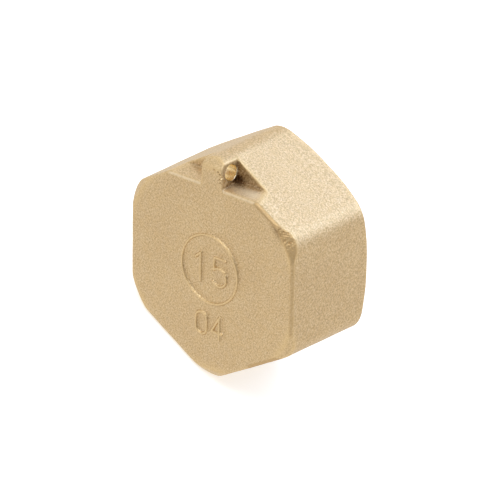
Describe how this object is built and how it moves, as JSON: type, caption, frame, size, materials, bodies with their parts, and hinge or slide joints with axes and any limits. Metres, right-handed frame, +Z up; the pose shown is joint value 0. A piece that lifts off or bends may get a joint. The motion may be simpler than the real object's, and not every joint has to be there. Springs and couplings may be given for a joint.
{
  "type": "pipe cap",
  "caption": "Hexagonal brass blanking cap with an internal parallel pipe thread, a captive flat seal ring and a drilled corner eye for a sealing wire.",
  "frame": {"origin": "on the thread axis, at the plane where the full thread begins, 1.2 mm inside the open rim", "axes": "+Y runs along the thread axis, out of the open mouth, so the closed face looks along -Y; +Z is up and the cap lies on one flat of its hexagon; the corner with the wire eye points 30 degrees left of up, seen from the closed face"},
  "size_m": [0.0284, 0.0134, 0.0254],
  "materials": {
    "forged_brass": "blasted, matt outside; machined and brighter in the thread and in the wire hole",
    "seal_rubber": "satin moulded rubber"
  },
  "bodies": {
    "cap": {"cap_body": "forged_brass"},
    "seal": {"seal_ring": "seal_rubber"}
  },
  "joints": [
    {"name": "seal_turn", "type": "hinge", "parent": "cap", "child": "seal", "pos_m": [0, -0.00775, 0], "axis": [0, 1, 0], "continuous": true}
  ]
}
